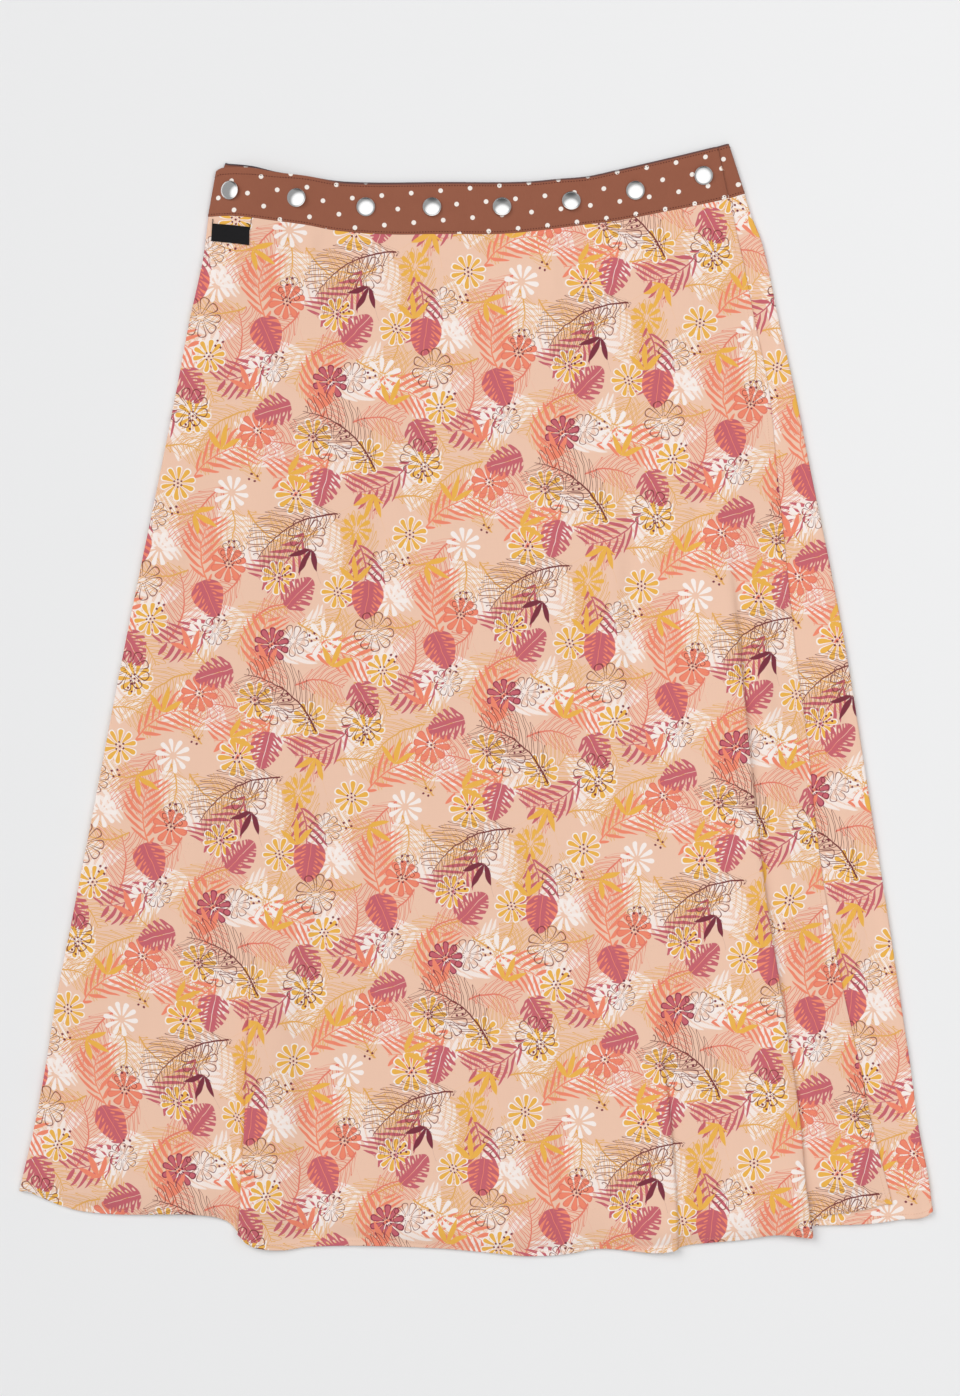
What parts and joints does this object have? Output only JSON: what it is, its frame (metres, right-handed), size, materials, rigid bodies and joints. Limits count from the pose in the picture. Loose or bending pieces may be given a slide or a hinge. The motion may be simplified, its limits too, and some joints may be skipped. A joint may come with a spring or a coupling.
{
  "type": "wrap skirt",
  "caption": "Flared wrap skirt laid flat, with an overlapping front and a snap-closed waistband.",
  "frame": {"origin": "middle of the laid skirt's box, on the surface it lies on", "axes": "+X across the skirt, towards the wrap edge; +Y up towards the waist; +Z away from the surface"},
  "size_m": [0.6932, 0.843, 0.0114],
  "materials": {
    "printed_cloth": "matt plain weave, printed",
    "band_cotton": "matt cotton with small dots",
    "snap_metal": "polished",
    "tab_weave": "matt satin weave"
  },
  "bodies": {
    "root": {"back_panel": "printed_cloth", "under_front_panel": "printed_cloth", "over_front_panel": "printed_cloth", "waistband_back": "band_cotton", "waistband_under_front": "band_cotton", "waistband_over_front": "band_cotton", "snap_cap_1": "snap_metal", "snap_cap_2": "snap_metal", "snap_cap_3": "snap_metal", "snap_cap_4": "snap_metal", "snap_cap_5": "snap_metal", "snap_cap_6": "snap_metal", "snap_cap_7": "snap_metal", "snap_cap_8": "snap_metal", "woven_tab": "tab_weave"}
  },
  "joints": []
}
